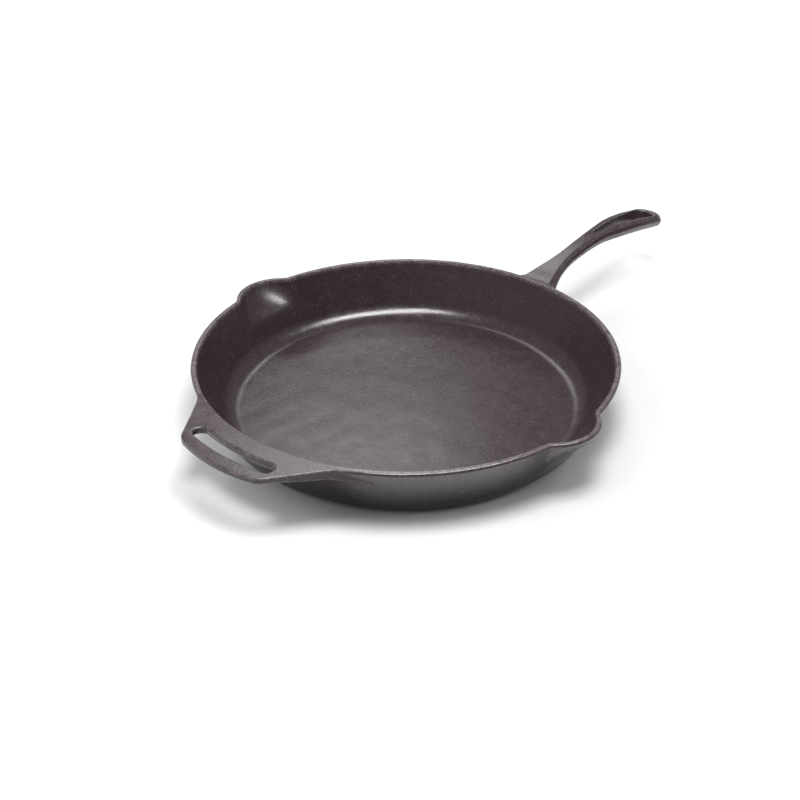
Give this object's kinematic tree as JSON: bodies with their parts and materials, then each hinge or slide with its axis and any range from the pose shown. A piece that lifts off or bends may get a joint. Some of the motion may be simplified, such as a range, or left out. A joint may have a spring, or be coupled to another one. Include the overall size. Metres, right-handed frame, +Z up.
{
  "type": "cast iron skillet",
  "caption": "Round one-piece cast iron skillet with flared wall, opposed pour lips, a slotted helper handle and an arched long handle with a teardrop hanging slot.",
  "frame": {"origin": "centre of the flat underside, on the surface the skillet stands on", "axes": "+X out along the long handle, +Y out through the left pour lip, +Z up out of the bowl"},
  "size_m": [0.575, 0.3748, 0.0694],
  "materials": {
    "seasoned_iron": "seasoned, fine sand-cast grain, satin"
  },
  "bodies": {
    "root": {"base_plate": "seasoned_iron", "side_wall_handle_side": "seasoned_iron", "side_wall_helper_side": "seasoned_iron", "pour_lip_left": "seasoned_iron", "pour_lip_right": "seasoned_iron", "helper_handle": "seasoned_iron", "long_handle": "seasoned_iron"}
  },
  "joints": []
}
